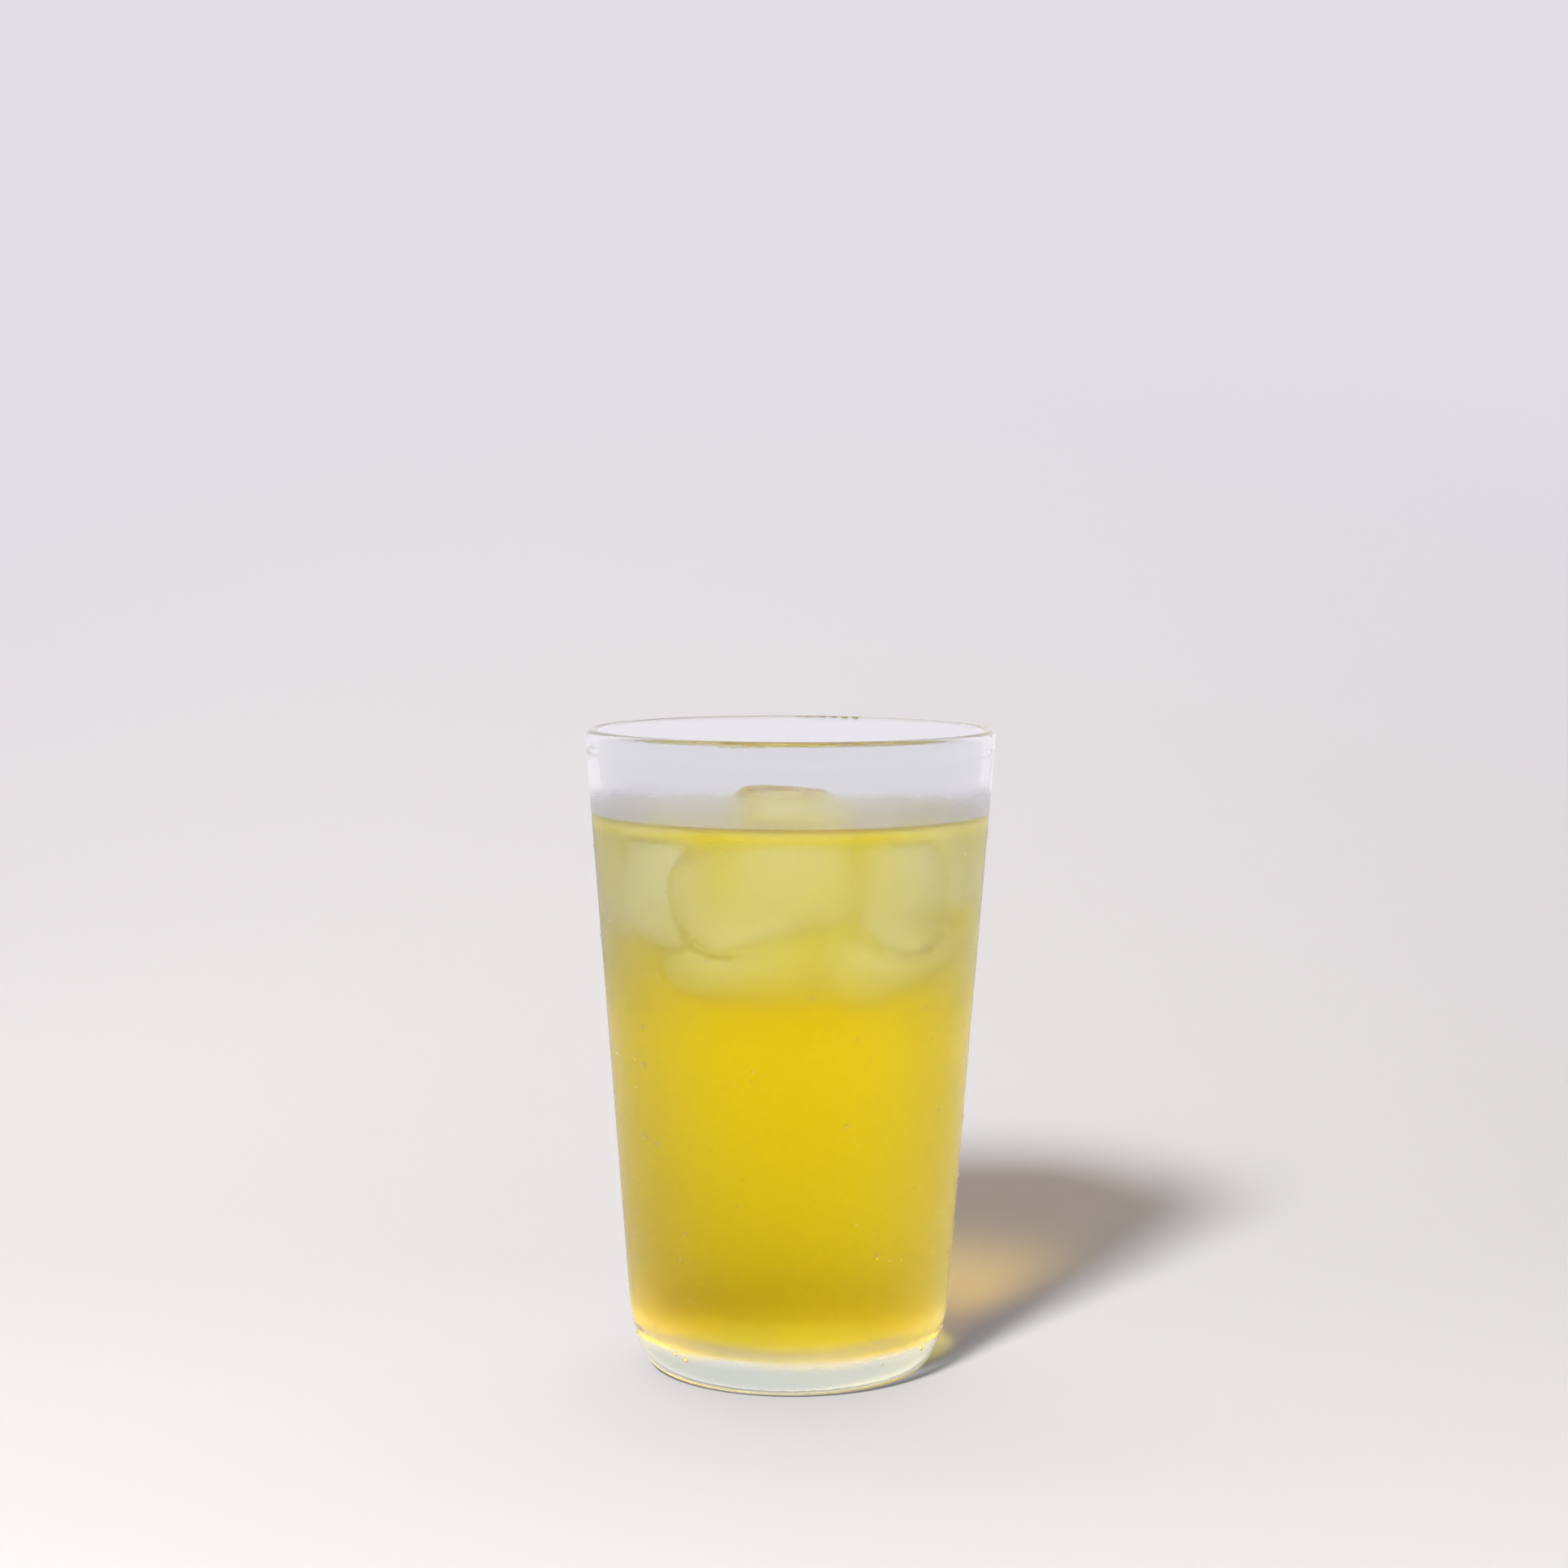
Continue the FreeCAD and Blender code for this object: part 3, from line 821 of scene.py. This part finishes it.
class OBJECT_OT_stage(bpy.types.Operator):
    """Set the paper sweep, the lamps, the sky and the camera"""
    bl_idname = "iced_tea.stage"
    bl_label = "Stage"

    def execute(self, context):
        scene = context.scene
        settings = scene.iced_tea.stage
        reach = settings.reach
        profile = [(-reach, 0.0), (-1.0, 0.0), (-0.3, 0.0), (settings.flat, 0.0)]
        for i in range(1, 25):
            turn = math.pi / 2 * i / 24
            profile.append((settings.flat + settings.sweep * math.sin(turn),
                            settings.sweep * (1 - math.cos(turn))))
        profile.append((profile[-1][0], reach))
        mesh = bpy.data.meshes.new("sweep")
        across = [-reach, -1.0, -0.3, 0.3, 1.0, reach]
        spots = [(x, y, z) for y, z in profile for x in across]
        n = len(across)
        faces = [(j * n + i, j * n + i + 1, j * n + n + i + 1, j * n + n + i)
                 for j in range(len(profile) - 1) for i in range(n - 1)]
        mesh.from_pydata(spots, [], faces)
        smooth(mesh)
        paper = mesh_object("sweep", mesh, sweep_paper(settings))
        self.light(scene)
        self.look(scene)
        return {"FINISHED"}

    def lamp(self, scene, name, azimuth, elevation, distance, size, watts, tint, seen):
        """An area lamp aimed at the middle of the glass; azimuth 0 is in front, 90 to the right.
        Glass and mist glint with a lamp that is seen; one that is not lights matt surfaces only."""
        target = (CAD_BOX[0] + CAD_BOX[1]) / 2
        a = math.radians(azimuth)
        e = math.radians(elevation)
        way = Vector((math.sin(a) * math.cos(e), -math.cos(a) * math.cos(e), math.sin(e)))
        data = bpy.data.lights.new(name, "AREA")
        data.shape = "DISK"
        data.size = size
        data.energy = watts
        data.color = linear(tint)[:3]
        lamp = bpy.data.objects.new(name, data)
        lamp.location = target + way * distance
        lamp.rotation_euler = way.to_track_quat("Z", "Y").to_euler()
        lamp.visible_glossy = seen
        lamp.visible_transmission = seen
        scene.collection.objects.link(lamp)

    def light(self, scene):
        # One key light, in two parts: the film of mist glints with less than half of it.
        key = {"azimuth": -23.5, "elevation": 37.5, "distance": 1.6, "size": 0.28, "tint": "#FFFBF4"}
        self.lamp(scene, "key", watts=18.0, seen=False, **key)
        self.lamp(scene, "key_glint", watts=13.0, seen=True, **key)
        settings = scene.iced_tea.stage
        world = bpy.data.worlds.new("sky")
        world.use_nodes = True
        world.node_tree.nodes.clear()
        tree = world.node_tree
        soft = add(tree, "ShaderNodeBackground", {"Color": linear("#F6EEEA"), "Strength": 0.12})
        plain = add(tree, "ShaderNodeBackground", {
            "Color": settings.wall, "Strength": glow(tree, settings.in_glass)})
        sky = add(tree, "ShaderNodeMixShader", {0: seen_plain(tree), 1: soft, 2: plain})
        add(tree, "ShaderNodeOutputWorld", {"Surface": sky})
        scene.world = world

    def look(self, scene):
        """The camera stands a little to the left, 4.7 glass heights back and looks slightly down."""
        height = CAD_BOX[1].z - CAD_BOX[0].z
        data = bpy.data.cameras.new("camera")
        data.sensor_width = 36.0
        data.lens = 70.3
        camera = bpy.data.objects.new("camera", data)
        down = Matrix.Rotation(math.radians(90 - 4.855), 4, "X")
        tilt = down @ Matrix.Rotation(math.radians(0.175), 4, "Z")
        place = Vector((-0.0097, -4.745, 1.3155)) * height
        camera.matrix_world = Matrix.Translation(place) @ tilt
        scene.collection.objects.link(camera)
        scene.camera = camera
        scene.view_settings.view_transform = "Standard"
        # The lamps' light on the paper comes through the tints that each piece lets lamps pass
        # with, and not by chance finds through glass as well.
        scene.cycles.caustics_refractive = False
        scene.cycles.caustics_reflective = False
        # Light crosses the wall, the tea and several pieces of ice, each of them twice.
        scene.cycles.max_bounces = 32
        scene.cycles.transmission_bounces = 32
        scene.cycles.glossy_bounces = 32
        scene.cycles.transparent_max_bounces = 32


class VIEW3D_PT_iced_tea(bpy.types.Panel):
    """Lists the steps that finish the glass of tea, with their settings"""
    bl_label = "Iced Tea"
    bl_idname = "VIEW3D_PT_iced_tea"
    bl_space_type = "VIEW_3D"
    bl_region_type = "UI"
    bl_category = "Iced Tea"

    def draw(self, context):
        for step, group in zip(STEPS, ("glass", "ice", "tea", "beads", "stage")):
            box = self.layout.box()
            box.operator(step.bl_idname)
            settings = getattr(context.scene.iced_tea, group)
            for name in settings.__annotations__:
                box.prop(settings, name)


STEPS = (OBJECT_OT_tumbler, OBJECT_OT_ice, OBJECT_OT_tea, OBJECT_OT_beads, OBJECT_OT_stage)
GROUPS = (GlassSettings, TeaSettings, IceSettings, BeadSettings, StageSettings, IcedTeaSettings)
CLASSES = GROUPS + STEPS + (VIEW3D_PT_iced_tea,)


def register():
    for each in CLASSES:
        bpy.utils.register_class(each)
    bpy.types.Scene.iced_tea = bpy.props.PointerProperty(type=IcedTeaSettings)


def unregister():
    del bpy.types.Scene.iced_tea
    for each in reversed(CLASSES):
        bpy.utils.unregister_class(each)


def main():
    register()
    bpy.ops.iced_tea.tumbler()
    bpy.ops.iced_tea.ice()
    bpy.ops.iced_tea.tea()
    bpy.ops.iced_tea.beads()
    bpy.ops.iced_tea.stage()


if __name__ == "__main__":
    main()
